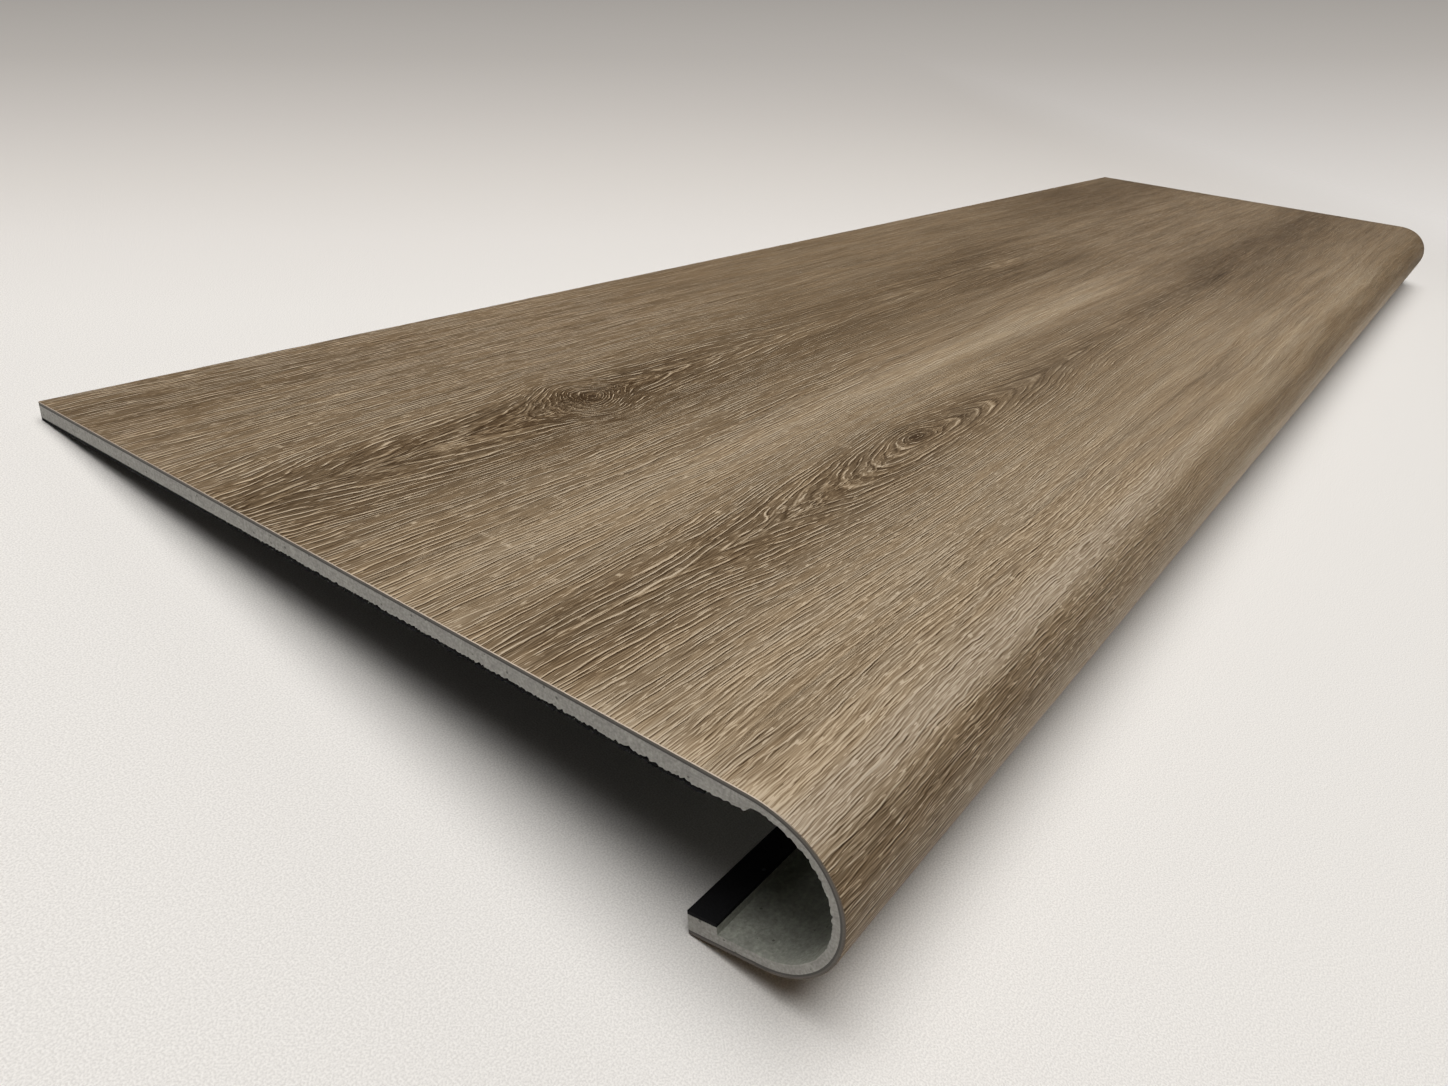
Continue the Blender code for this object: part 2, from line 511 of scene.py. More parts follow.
def bands(x, s, table):
    """Adds up a table's soft bands."""
    out = np.zeros(len(x))
    for first, last, centre, half, amount, *slope in table:
        inside = 1 / (1 + np.exp(-(x - first) / 22)) / (1 + np.exp((x - last) / 22))
        across = s - centre - sum(slope) * (x - first)
        out += amount * inside * np.exp(-(across / half) ** 2)
    return out


# Paler and darker bands: from x, to x, centre, half width, amount and, where it drifts, its slope
# The paler rows centred on the nose's roll, s from -8 to -41, are painted highlight along the roll;
# the rows reaching x 1200 and 1300 that darken the far part are partly print tone, partly painted shade.
TONES = (
    (-80, 240, 172, 13, -0.15), (100, 180, 176, 19, -0.13), (-80, 200, 152, 15, -0.12),
    (190, 620, 150, 14, -0.12), (230, 520, 178, 18, -0.12), (215, 310, 169, 5, 0.12),
    (440, 600, 188, 26, -0.10, 0.05), (-80, 100, 62, 13, -0.15), (90, 380, 62, 18, -0.13),
    (380, 640, 66, 9, -0.10), (450, 1200, 64, 20, -0.04), (600, 1200, 72, 24, -0.16),
    (700, 1200, 250, 45, -0.07), (800, 1200, 250, 45, -0.06), (-80, 120, 262, 16, -0.12),
    (-80, 570, 104, 10, 0.20), (-80, 60, 104, 12, -0.08), (200, 560, 15, 12, 0.12),
    (-80, 220, 20, 26, 0.14), (250, 1300, 235, 60, -0.05), (560, 1300, 150, 90, -0.04),
    (600, 1300, 36, 24, -0.08), (-80, 800, -9, 9, 0.15), (60, 900, -41, 9, 0.34),
    (180, 330, -25, 8, 0.08), (-80, 70, -8, 9, 0.06), (-80, 60, 172, 26, -0.05),
    (-80, 150, -25, 8, -0.10), (-80, 330, 86, 8, 0.08), (180, 520, 40, 10, 0.07),
    (640, 900, 15, 12, 0.10), (300, 750, -38, 7, 0.08), (-80, 420, -14.5, 4.4, 0.09),
    (-80, 260, -14.5, 4.4, 0.05),
)
# Darker and paler spots: x, s, half length, half width and amount
SPOTS = (
    (200, 66.0, 3.2, 1.8, -0.40), (202, 64.5, 11.0, 4.0, -0.20), (206, 68.5, 5.0, 1.4, -0.14),
    (201, 73.5, 8.0, 3.0, -0.12), (140, 171, 4.0, 3.0, -0.16), (136, 172, 16.0, 11.0, -0.09),
    (158, 171, 5.0, 6.0, -0.07),
)
# Bands where the rings show more strongly, laid out as the tones are
RINGS = (
    (108, 300, 63, 22, 1.0), (300, 400, 64, 14, 0.6), (340, 640, 67, 14, 0.45),
    (640, 1200, 70, 22, 0.3), (84, 165, 180, 27, 1.05), (0, 90, 172, 12, 0.20),
    (165, 380, 172, 14, 0.2), (360, 640, 176, 20, 0.45),
)


# The stage: where the camera stands and which ways it looks, the floor, the paper and the lamps

CAMERA_AT = (-0.673141, -0.187398, 0.192770)
CAMERA_RIGHT = (0.589342, -0.782673, 0.200245)
CAMERA_UP = (0.322635, 0.455254, 0.829850)
CAMERA_LENS = 26.491
CAMERA_SENSOR = 36.0
FLOOR_SIDE = 40.0

# The point on the floor round which the paper's painted shade fans out, the angles in radians
# between which it darkens and fades away again, and the height in the sky over which it ends
FAN_POINT = (-1.2405, 0.5661)
FAN_DARKENS = (-0.4953, 0.2605)
FAN_ENDS = (0.30, 1.10)
SKY_FADES = (0.032, 0.15)
PAPER_GREY = (0.45, 0.43, 0.41)

# Each lamp's name, place, point that it looks at, side and power
LAMPS = (
    ("soft_top", (-0.35, 0.15, 3.2), (0.0, 0.0, 0.0), 3.0, 125.0),
    ("soft_far", (1.9, 0.3, 1.3), (-0.1, 0.0, 0.0), 1.0, 4.0),
    ("soft_low", (-1.7, 0.55, 0.085), (-0.5, -0.12, 0.02), 0.15, 2.1),
)
LAMP_COLOUR = (1.0, 0.99, 0.975)


# The oak print, in metres: where a stroke's painted lit line lies beside its dark one, how wide a
# ring is round each heart, and how far across the rings the front heart gives way to the back one
STROKE_SHIFT = -0.00036
FRONT_RING, BACK_RING = 0.0019, 0.0027
HEART_CHANGE = (0.053, 0.055)
# Runs over which the strokes of the nose give way to those of the flat
NOSE_TO_FLAT = (0.012, 0.048)
# Depth of the face and of its rim at the cut ends, whose pale colour is painted highlight, and the
# depths between which the print gives way to the rim and the rim to the cut
FACE_DEPTH, RIM_DEPTH = 0.00001, 0.00022
PRINT_TO_RIM = (0.00003, 0.00008)
RIM_TO_CUT = (0.00023, 0.00028)


# Materials

def stroked(tree, grain, lean, across, run):
    """Fine hairs and two kinds of embossed strokes: their tone with painted light and shade, their
    height and the hairs.
    """
    shift = combined(tree, 0.0, times(tree, lean, STROKE_SHIFT), STROKE_SHIFT)
    standing = ranged(tree, sums(tree, "ABSOLUTE", lean), 0.10, 0.45)
    wide = ranged(tree, across, *HEART_CHANGE, 0.00104, 0.00130)
    on_flat = ranged(tree, run, *NOSE_TO_FLAT, 0.50, 1.20)
    on_nose = ranged(tree, run, *NOSE_TO_FLAT, 1.25, 0.70)
    hair = fibres(tree, grain, 0.009, 0.00040, 13.0, detail=1.0)
    tone, height = times(tree, hair, 0.36), times(tree, hair, 0.5)
    for length, width, thin, steep, seed, painted_lit_gain, painted_shade_gain, relief, share in (
            (0.024, wide, 0.085, standing, 17.0, 0.66, -0.38, -1.0, on_flat),
            (0.015, 0.00064, 0.10, 0.5, 23.0, 0.34, -0.22, -0.7, on_nose)):
        dark, light = used_group(tree, "Strokes", Vector=grain, Shift=shift, Length=length,
                                 Width=width, Thin=thin, Steep=steep, Seed=seed)
        # The lit line adds painted highlight and the dark line painted shade; the dark line also carves
        # the bump.
        painted_groove_shading = times_plus(tree, light, painted_lit_gain, times(tree, dark, painted_shade_gain))
        tone = times_plus(tree, painted_groove_shading, share, tone)
        height = times_plus(tree, dark, relief, height)
    return minus(tree, tone, 0.24), height, hair


def ringed(tree, place, across, strength, broad, streak):
    """Growth rings: a dark line with a paler one behind it, unevenly strong and a little wavy."""
    wander = times(tree, minus(tree, streak, 0.5), 5.0)
    wander = times_plus(tree, broad, 9.0, wander)
    rate = ranged(tree, across, *HEART_CHANGE, 2 * math.pi / FRONT_RING, 2 * math.pi / BACK_RING,
                  smooth=False)
    phase = times_plus(tree, across, rate, wander)
    lines = []
    for lag, thin in ((0.0, 7.0), (-1.2, 4.0)):
        wave = sums(tree, "SINE", sums(tree, "ADD", phase, lag))
        lines.append(sums(tree, "POWER", times_plus(tree, wave, 0.5, 0.5), thin))
    uneven = ranged(tree, mottle(tree, place, 0.013, 2.6, 2.0), 0.20, 0.85, 0.15, 1.45)
    ring = times_plus(tree, lines[1], -0.62, times(tree, lines[0], uneven))
    return times(tree, sums(tree, "ADD", ring, 0.02), strength)


def oak_material():
    """Printed oak: growth rings, streaks and embossed strokes, painted glints and sheen, and its pale
    trimmed edge of painted highlight.
    """
    made, tree, shader, colours = new_material("oak_print", 0.5)
    figure, strength, lean = split(tree, stored(tree, "figure"))
    place = stored(tree, "board")
    x, run, depth = split(tree, place)

    wobble = times(tree, minus(tree, mottle(tree, place, 0.0060, detail=1.0), 0.5), 0.0005)
    wobble = combined(tree, 0.0, times(tree, wobble, lean), wobble)
    grain = vectors(tree, "ADD", stored(tree, "grain"), wobble)
    across = split(tree, grain)[1]

    broad = fibres(tree, grain, 0.16, 0.008, 2.0, spread=3.0)
    streak = fibres(tree, grain, 0.070, 0.0022, 5.0)
    hue = fibres(tree, grain, 0.050, 0.0050, 41.0, spread=2.0)
    # Painted glints: tiny bright dashes of highlight, fading away from the near end.
    painted_glint = fibres(tree, place, 0.0045, 0.00050, 31.0, detail=0.0)
    painted_glint = times(tree, ranged(tree, painted_glint, 0.665, 0.735), ranged(tree, x, 0.08, 0.34, 1.0, 0.1))
    strokes, height, hair = stroked(tree, grain, lean, across, run)
    ring = ringed(tree, place, across, strength, broad, streak)

    patch = ranged(tree, mottle(tree, place, 0.0070, 2.4, 1.0), 0.0, 1.0, 0.60, 1.25, smooth=False)
    calm = times(tree, ranged(tree, strength, 0.35, 1.05, 1.0, 0.60), patch)
    calm = times(tree, calm, ranged(tree, x, 0.14, 0.36, 1.60, 0.42))
    tone = sums(tree, "ADD", figure, times(tree, strokes, calm))
    soft = ranged(tree, x, 0.18, 0.40, 0.22, 0.40)
    for part, middle, amount in (
            (broad, 0.5, 0.26), (streak, 0.5, soft), (ring, 0.0, 0.30), (painted_glint, 0.0, 0.40)):
        tone = times_plus(tree, minus(tree, part, middle), amount, tone)
    wood = ramped(tree, tone, (
        (0.05, (0.050, 0.027, 0.010)), (0.30, colours.oak_dark), (0.50, colours.oak_mid),
        (0.70, colours.oak_light), (0.95, (0.535, 0.430, 0.305))))

    cooler, warmer, painted_sheen_tint = (0.985, 1.0, 1.025), (1.015, 0.998, 0.975), (0.976, 1.0, 1.060)
    tint = blended(tree, ranged(tree, hue, 0.36, 0.64), cooler, warmer)
    # Painted sheen: a cool pale tint on the nose's shoulder, runs -20 to -7 mm, fading away from the
    # near end.
    painted_sheen_band = times(tree, ranged(tree, run, -0.0200, -0.0155),
                  ranged(tree, run, -0.0105, -0.0065, 1.0, 0.0))
    painted_sheen_band = times(tree, painted_sheen_band, ranged(tree, x, 0.14, 0.40, 1.0, 0.1))
    tint = blended(tree, painted_sheen_band, tint, painted_sheen_tint)
    wood = blended(tree, 1.0, wood, tint, "MULTIPLY")

    # The rim at the cut ends: pale on the flat, a painted highlight along the edge, fainter towards the
    # back; brown round the nose and darker down the lip.
    lip_rim, nose_rim, back_painted_highlight = (0.062, 0.052, 0.042), (0.150, 0.118, 0.090), (0.44, 0.37, 0.30)
    brown = blended(tree, ranged(tree, run, -0.062, -0.040), lip_rim, nose_rim)
    rim = blended(tree, ranged(tree, run, 0.08, 0.20), colours.painted_edge_highlight, back_painted_highlight)
    rim = blended(tree, ranged(tree, run, -0.016, -0.002), brown, rim)
    cut = blended(tree, ranged(tree, depth, *RIM_TO_CUT), rim, colours.film_cut)
    wood = blended(tree, ranged(tree, depth, *PRINT_TO_RIM), wood, cut)
    tree.links.new(wood, shader["Base Color"])

    bumped(tree, shader, height, 0.7, 0.00020)
    tree.links.new(ranged(tree, hair, 0.3, 0.7, 0.62, 0.50), shader["Roughness"])
    shader["Specular IOR Level"].default_value = 0.14
    return made


def ply_material():
    """Dark ply: grey-brown under the film, darker at its foot and along the seam."""
    made, tree, shader, colours = new_material("dark_ply", 0.65)
    place = stored(tree, "board")
    depth = split(tree, place)[2]
    cloud = mottle(tree, place, 0.003, 0.8)
    foot = ranged(tree, times_plus(tree, cloud, 0.00012, depth), 0.00078, 0.00098)
    seam = ranged(tree, times_plus(tree, cloud, 0.00010, depth), 0.00070, 0.00058)
    edge = sums(tree, "MAXIMUM", foot, times(tree, seam, 0.45))
    colour = blended(tree, edge, colours.film_cut, colours.ply_foot)
    colour = blended(tree, times(tree, cloud, 0.5), colour, colours.ply_foot)
    tree.links.new(colour, shader["Base Color"])
    bumped(tree, shader, cloud, 0.5, 0.0001)
    return made


def core_material():
    """Stone-filled core: grey with fine specks, saw marks, pits and a pale burr on its torn edge, and
    painted shade in the hollow.
    """
    made, tree, shader, colours = new_material("grey_core", 0.7)
    place = stored(tree, "board")
    x, run, depth = split(tree, place)
    burr, share, _ = split(tree, stored(tree, "torn"))
    cloud = mottle(tree, place, 0.0026, 1.5)
    fine = mottle(tree, place, 0.0008, 2.2)
    dark = specks(tree, place, 0.0013, 0.06)
    pale = specks(tree, place, 0.0011, 0.06, 4.0)
    sawn = fibres(tree, combined(tree, run, depth, x), 0.011, 0.00042, 3.0, spread=9.0)
    cloud = times_plus(tree, minus(tree, sawn, 0.5), 0.9, cloud, clamp=True)
    colour = blended(tree, cloud, colours.core_dark, colours.core_light)
    for mask, amount, over in (
            (fine, 0.80, (0.190, 0.184, 0.168)), (dark, 0.7, (0.070, 0.066, 0.058)),
            (pale, 0.5, (0.42, 0.40, 0.37)), (burr, 0.65, (0.46, 0.44, 0.41))):
        colour = blended(tree, times(tree, mask, amount), colour, over)
    # Painted shade: the milled face of the nose's hollow darkens towards its top, runs -44 to -20 mm,
    # with a faint green tint lower down.
    milled = ranged(tree, share, 0.97, 0.999)
    painted_hollow_shade = blended(tree, ranged(tree, run, -0.044, -0.020), (0.93, 0.98, 0.92), (0.42, 0.45, 0.42))
    colour = blended(tree, milled, colour, blended(tree, 1.0, colour, painted_hollow_shade, "MULTIPLY"))
    tree.links.new(colour, shader["Base Color"])
    height = minus(tree, times_plus(tree, fine, 0.4, cloud), dark)
    bumped(tree, shader, height, 0.7, 0.00015)
    return made


def foam_material():
    """Black foam with a fine closed-cell skin, made once for all the pieces that use it."""
    made = bpy.data.materials.get("black_foam")
    if made:
        return made
    made, tree, shader, colours = new_material("black_foam", 0.85)
    place = lay(tree, "TexCoord").outputs["Object"]
    cells = lay(tree, "TexVoronoi", {"Vector": place, "Scale": 1400.0})
    cloud = mottle(tree, place, 0.02, 1.2)
    dust = specks(tree, place, 0.0024, 0.06)
    colour = blended(tree, cloud, colours.foam, (0.010, 0.010, 0.011))
    colour = blended(tree, times(tree, dust, 0.5), colour, (0.060, 0.066, 0.076))
    tree.links.new(colour, shader["Base Color"])
    bumped(tree, shader, cells.outputs["Distance"], 0.5, 0.0002)
    shader["Specular IOR Level"].default_value = 0.12
    return made


def floor_material():
    """Pale matt paper: lit by the lamps near the tread, and further off glowing with its painted shade.
    """
    made, tree, shader, _ = new_material("pale_paper", 0.95)
    place = lay(tree, "TexCoord").outputs["Object"]
    x, y, _ = split(tree, place)

    out = vectors(tree, "SUBTRACT", place, (*FAN_POINT, 0.0))
    out_x, out_y, _ = split(tree, out)
    turn = sums(tree, "ARCTAN2", out_y, out_x)
    reach = lay(tree, "VectorMath", {0: out}, operation="LENGTH").outputs["Value"]
    paper = used_group(tree, "Paper painted shade", Turn=turn, Share=ranged(tree, reach, 0.10, 0.72))[0]
    weave = mottle(tree, place, 0.00045, 3.0, 1.0)
    paper = blended(tree, times(tree, weave, 0.38), paper, PAPER_GREY)
    tree.links.new(paper, shader["Base Color"])
    shader["Specular IOR Level"].default_value = 0.1

    # Beyond 0.1 to 0.6 m from the tread, camera rays see the paper glow with its painted shade instead
    # of lit.
    off_x = minus(tree, sums(tree, "ABSOLUTE", x), HALF)
    off_y = minus(tree, sums(tree, "ABSOLUTE", y), DEPTH / 2)
    away = ranged(tree, sums(tree, "MAXIMUM", off_x, off_y), 0.10, 0.60)
    path = lay(tree, "LightPath")
    share = times(tree, away, path.outputs["Is Camera Ray"])
    glow = lay(tree, "Emission", {"Color": paper, "Strength": 1.0})
    lit = tree.nodes["Principled BSDF"].outputs[0]
    both = lay(tree, "MixShader", {0: share, 1: lit, 2: glow.outputs[0]})
    tree.links.new(both.outputs[0], tree.nodes["Material Output"].inputs["Surface"])
    return made


def room_world(world):
    """Fills the world with weak warm light, and shows the paper's painted shade beyond the floor's edge.
    """
    world.use_nodes = True
    tree = world.node_tree
    tree.nodes.clear()
    room = lay(tree, "Background", {"Color": (1.0, 0.91, 0.78, 1), "Strength": 0.028})
    x, y, z = split(tree, lay(tree, "TexCoord").outputs["Generated"])
    low = sums(tree, "MINIMUM", z, SKY_FADES[0])
    turn = times_plus(tree, low, 4.3, sums(tree, "ARCTAN2", y, x))
    fade = ranged(tree, z, *SKY_FADES, 1.0, 0.0)
    shade = used_group(tree, "Paper painted shade", Turn=turn, Share=fade)[0]
    shade = blended(tree, 0.19, shade, PAPER_GREY)
    seen = lay(tree, "Background", {"Color": shade, "Strength": 1.0})
    path = lay(tree, "LightPath")
    both = lay(tree, "MixShader",
               {0: path.outputs["Is Camera Ray"], 1: room.outputs[0], 2: seen.outputs[0]})
    lay(tree, "OutputWorld", {"Surface": both.outputs[0]})


# Colours and sizes that a user may change

def a_colour(name, description, default):
    return FloatVectorProperty(name=name, description=description, default=default, size=3,
                               min=0.0, max=1.0, subtype="COLOR")


def a_length(name, description, default):
    return FloatProperty(name=name, description=description, default=default, min=0.0, unit="LENGTH",
                         precision=5)


class TreadColours(bpy.types.PropertyGroup):
    """Colours of the tread's layers and of the stage"""
    oak_dark: a_colour("Oak, dark", "Darker streaks of the oak print", (0.134, 0.089, 0.048))
    oak_mid: a_colour("Oak, middle", "Middle tone of the oak print", (0.230, 0.163, 0.097))
    oak_light: a_colour("Oak, light", "Paler streaks of the oak print", (0.352, 0.267, 0.173))
    # Painted highlight: the pale colour of the rim along the film's cut ends.
    painted_edge_highlight: a_colour("Edge highlight", "Pale rim of the film, painted highlight", (0.62, 0.52, 0.42))
    film_cut: a_colour("Film, cut", "Cut face of film and ply", (0.136, 0.120, 0.103))
    ply_foot: a_colour("Ply foot", "Dark line above the core", (0.060, 0.055, 0.049))
    core_light: a_colour("Core, light", "Paler clouds of the core", (0.470, 0.457, 0.420))
    core_dark: a_colour("Core, dark", "Darker clouds of the core", (0.290, 0.282, 0.260))
    foam: a_colour("Foam", "Black backing foam", (0.0055, 0.0055, 0.006))
    floor_near: a_colour("Floor, near", "Paper under the tread", (0.895, 0.872, 0.843))
    # Painted shade: the grey the paper glows with far behind the tread.
    floor_far_painted_shade: a_colour("Floor, far", "Painted shade of the paper far behind the tread", (0.338, 0.316, 0.292))


class TreadSizes(bpy.types.PropertyGroup):
    """Sizes of the tread's finish"""
    oak_cell: a_length("Emboss row", "Width of one row of the embossed face", 0.0008)
    emboss: a_length("Emboss depth", "Deepest embossed stroke", 0.00014)
    # The rim is a real narrow bevel; its pale colour is painted highlight.
    bevel: a_length("Rim", "Width of the bevelled rim at the cut ends", 0.00025)
    core_cell: a_length("Core row", "Spacing of the points along the core's cut", 0.0005)
    chip: a_length("Chipping", "Deepest chip of the core's torn edge", 0.0006)


# Operators

class TREAD_OT_oak_face(bpy.types.Operator):
    """Model the embossed oak film round the whole outer face"""
    bl_idname = "tread.oak_face"
    bl_label = "Oak face"

    def execute(self, context):
        sizes = context.scene.tread_sizes
        nothing_selected()
        rows, columns = round(BACK_EDGE / sizes.oak_cell), 208
        bpy.ops.mesh.primitive_grid_add(
            x_subdivisions=columns, y_subdivisions=rows, size=1.0,
            location=(0, BACK_EDGE / 2, 0))
        face = added("oak_face", (LENGTH, BACK_EDGE, 1))
        where = points(face)
        share = where[:, 0] / LENGTH + 0.5
        spread = 0.45 * share + 0.55 * share ** 2
        rim = sizes.bevel / LENGTH
        first, last = np.isclose(share, 1 / columns), np.isclose(share, 1 - 1 / columns)
        spread[first], spread[last] = rim, 1 - rim
        where[:, 0] = (spread - 0.5) * LENGTH
        place_points(face, where)
        edit_points(face, where[:, 1] < CLOSE)
        bend_front(sizes.oak_cell)
        object_mode()

        where = points(face)
        run = unrolled(where[:, 1], where[:, 2])[0]
        x = (where[:, 0] + HALF) * 1000
        s = run * 1000
        field = grain_field(x, s)
        coarse = clouds(x, field, 19, 2.6, 2.2) + 0.5 * clouds(x + 3 * s, field, 11, 3.4, 8.4)
        carve = sizes.emboss * np.clip(0.5 - 0.62 * coarse, 0, 1)
        tone = 0.5 + bands(x, s, TONES)
        for spot_x, spot_s, long, wide, amount in SPOTS:
            tone += amount * np.exp(-((x - spot_x) / long) ** 2 - ((s - spot_s) / wide) ** 2)
        # Paler within a few millimetres of the near end, from the nose's crest to 110 mm into the flat:
        # painted highlight along that cut edge.
        tone += 0.16 * np.exp(-(x / 5.0) ** 2) * np.interp(s, [-24, -12, 40, 110], [0, 1, 1, 0])
        lean = np.clip((grain_field(x, s + 0.3) - grain_field(x, s - 0.3)) / 0.6, -1.2, 1.2)
        rings = 0.12 + bands(x, s, RINGS)
        rings *= 1 - 0.75 * np.exp(-((x - 200) / 9) ** 2 - ((s - 66) / 5) ** 2)
        ends = np.abs(where[:, 0]) > HALF - CLOSE
        depth = np.where(ends, RIM_DEPTH, FACE_DEPTH)
        where[:, 1], where[:, 2] = section_point(run, depth + carve * ~ends)
        place_points(face, where)
        keep(face, "grain", x / 1000, field / 1000, run)
        keep(face, "figure", tone, rings, lean)
        keep(face, "board", x / 1000, run, depth)

        for side in (-HALF, HALF):
            edit_points(face, np.abs(points(face)[:, 0] - side) < CLOSE)
            bpy.ops.mesh.extrude_region_move(TRANSFORM_OT_translate={"value": (0, 0, 0)})
            object_mode()
            where, board = points(face), kept_board(face)
            fresh = np.zeros(len(where), dtype=bool)
            face.data.vertices.foreach_get("select", fresh)
            board[fresh, 2] = FILM
            face.data.attributes["board"].data.foreach_set("vector", board.ravel())
            where[fresh, 1], where[fresh, 2] = section_point(board[fresh, 1].astype(float), FILM)
            place_points(face, where)

        board = kept_board(face)
        edit_points(face, board[:, 2] > FILM - CLOSE)
        bpy.ops.mesh.bridge_edge_loops()
        for edge in (LIP_END, BACK_EDGE):
            edit_points(face, np.abs(board[:, 1] - edge) < 10 * CLOSE)
            bpy.ops.mesh.edge_face_add()
        object_mode()
        finish_piece(face, oak_material(), "wear_layer", math.radians(50))
        return {"FINISHED"}


# Rows of points this far in from each cut end, how far in the saw has torn the core and the foam,
# and how near to the land's wall a point moves onto it
END_ROWS = (0.0004, 0.0012, 0.0030)
CORE_TEAR, FOAM_TEAR = 0.0028, 0.0032
WALL_CATCH = 0.0005


def cut_section(name, top, thick, first, last, rows, step, bent):
    """A layer's cut end as a sheet of points, its front bent round the nose, drawn out in length."""
    nothing_selected()
    columns = round((last - first) / step)
    bpy.ops.mesh.primitive_grid_add(
        x_subdivisions=rows, y_subdivisions=columns, size=1.0, rotation=(0, math.pi / 2, 0),
        location=(-HALF, (first + last) / 2, -top - thick / 2))
    made = added(name, (thick, last - first, 1))
    if bent:
        edit_points(made, points(made)[:, 1] < first + CLOSE)
        bend_front(step)
    else:
        bpy.ops.object.mode_set(mode="EDIT")
    bpy.ops.mesh.select_all(action="SELECT")
    near_rows = np.diff((0.0, *END_ROWS))
    for stride in (*near_rows, LENGTH - 2 * END_ROWS[-1], *near_rows[::-1]):
        bpy.ops.mesh.extrude_region_move(TRANSFORM_OT_translate={"value": (stride, 0, 0)})
    object_mode()
    return made


class TREAD_OT_dark_ply(bpy.types.Operator):
    """Model the dark ply between the film and the core"""
    bl_idname = "tread.dark_ply"
    bl_label = "Dark ply"

    def execute(self, context):
        ply = cut_section("dark_ply", FILM, CORE_TOP - FILM, 0.0, BACK_EDGE, 3, 0.0020, True)
        where = points(ply)
        keep(ply, "board", where[:, 0] + HALF, *unrolled(where[:, 1], where[:, 2]))
        finish_piece(ply, ply_material(), "top_ply")
        return {"FINISHED"}


# What the milling leaves of the core: runs and thicknesses
CORE_LEFT = (
    (LIP_END, CORE), (LAND_EDGE, CORE), (LAND_EDGE + 0.0001, 0.0024), (-0.0030, 0.0017),
    (0.0, 0.0034), (SHOULDER_RUN, CORE), (BACK_EDGE, CORE))
# Scars of the saw on the core's ends: run, share of the thickness, half width and half height
SCARS = (
    (0.0300, 0.5, 0.00035, 9.0), (0.1460, 0.45, 0.0009, 0.30), (0.1280, 0.9, 0.0007, 0.30),
    (0.1930, 0.6, 0.0005, 0.30), (-0.0520, 0.8, 0.0009, 0.30), (0.0730, 0.3, 0.0004, 0.30))


def torn_edge(run, seed):
    """How far the saw has torn the core's lower edge at each run, from none to one."""
    level = run * 0
    fine = clouds(run, level, 0.0011, 1.0, seed) + 0.9 * clouds(run, level, 0.00055, 1.0, seed + 9)
    slow = clouds(run, level, 0.0080, 1.0, seed + 21)
    teeth = np.clip(0.34 + 0.62 * fine + 0.35 * slow, 0.0, 1.0)
    reach = np.interp(run, [-0.052, -0.044, -0.004, 0.0, 0.020, 0.15, 0.19],
                      [0, 0.7, 0.8, 0.85, 1.0, 0.8, 0])
    return teeth * reach


class TREAD_OT_grey_core(bpy.types.Operator):
    """Model the milled core with its sawn and chipped ends"""
    bl_idname = "tread.grey_core"
    bl_label = "Grey core"

    def execute(self, context):
        sizes = context.scene.tread_sizes
        core = cut_section("grey_core", CORE_TOP, CORE, 0.0, BACK_EDGE, 7, sizes.core_cell, True)
        where = points(core)
        run, depth = unrolled(where[:, 1], where[:, 2])
        share = (depth - CORE_TOP) / CORE
        past_wall = run - LAND_EDGE
        run = np.where((past_wall > -WALL_CATCH) & (past_wall <= 0.0), LAND_EDGE, run)
        run = np.where((past_wall > 0.0) & (past_wall <= WALL_CATCH), LAND_EDGE + 0.00012, run)
        inside = HALF - np.abs(where[:, 0])
        ends = inside < CLOSE
        fade = np.clip(1 - inside / CORE_TEAR, 0, 1) ** 1.3
        torn = np.where(where[:, 0] < 0, torn_edge(run, 3.0), torn_edge(run, 41.0)) * fade
        notch = 0.0006 * np.exp(-((run + 0.0016) / 0.0006) ** 2) * fade
        left = np.interp(run, *zip(*CORE_LEFT)) - sizes.chip * torn - notch
        depth = CORE_TOP + share * left
        dents = np.clip(clouds(run, depth, 0.0021, 0.0011, 5.0), 0, 1)
        scar = np.zeros(len(run))
        for place, deep, wide, tall in SCARS:
            scar += np.exp(-((run - place) / wide) ** 2 - ((share - deep) / tall) ** 2)
        scar = np.clip(scar, 0, 1)
        inward = np.where(ends, 0.00006 * dents, 0.0)
        inward += np.where(ends, 0.00022 * scar, 0.0)
        inward += np.where(ends, 0.0003 * torn * share ** 4, 0.0)
        where[:, 0] -= np.sign(where[:, 0]) * inward
        where[:, 1], where[:, 2] = section_point(run, depth)
        place_points(core, where)
        keep(core, "board", where[:, 0] + HALF, run, depth)
        burr = np.clip((share - 0.86) / 0.14, 0, 1) * fade
        burr *= np.interp(run, [-0.07, -0.06, 0.19, 0.2], [0, 0.6, 1, 0])
        keep(core, "torn", np.maximum(burr, 0.8 * scar * ends), share, fade)
        finish_piece(core, core_material(), "core")
        return {"FINISHED"}


